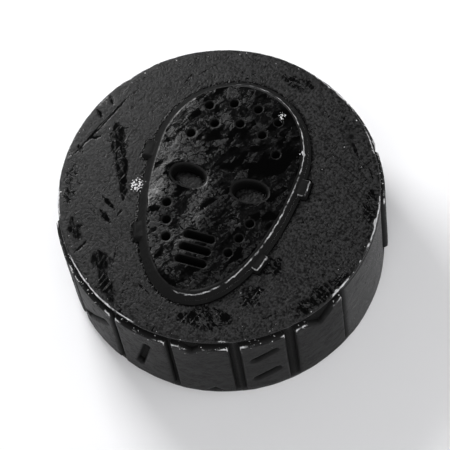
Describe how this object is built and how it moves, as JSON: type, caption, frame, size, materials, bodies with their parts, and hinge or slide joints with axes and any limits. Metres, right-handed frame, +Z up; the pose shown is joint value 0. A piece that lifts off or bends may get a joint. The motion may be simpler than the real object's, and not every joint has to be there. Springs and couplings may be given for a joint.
{
  "type": "hockey puck",
  "caption": "Solid round black hockey puck with a raised goalie mask on its top face and raised blocks round its side.",
  "frame": {"origin": "centre of the bottom face", "axes": "+Z up out of the top face; +Y towards the top of the raised mask, -Y towards its chin and the front group of side blocks; +X to the right of the mask as seen from above with its chin down"},
  "size_m": [0.0762, 0.078, 0.0355],
  "materials": {
    "scuffed_rubber": "matte black rubber, scuffed grey, with worn pale rims",
    "glossy_relief": "mottled glossy black rubber with matte scuffed patches and worn pale edges",
    "side_relief": "satin black rubber with worn pale edges"
  },
  "bodies": {
    "root": {"puck_body": "scuffed_rubber", "goalie_mask": "glossy_relief", "side_block_front_1": "side_relief", "side_block_front_2": "side_relief", "side_block_front_3": "side_relief", "side_block_front_4": "side_relief", "side_block_front_5": "side_relief", "side_block_front_6": "side_relief", "side_block_rear_1": "side_relief", "side_block_rear_2": "side_relief", "side_block_rear_3": "side_relief", "side_block_rear_4": "side_relief", "side_block_rear_5": "side_relief", "side_block_rear_6": "side_relief", "side_block_rear_7": "side_relief"}
  },
  "joints": []
}
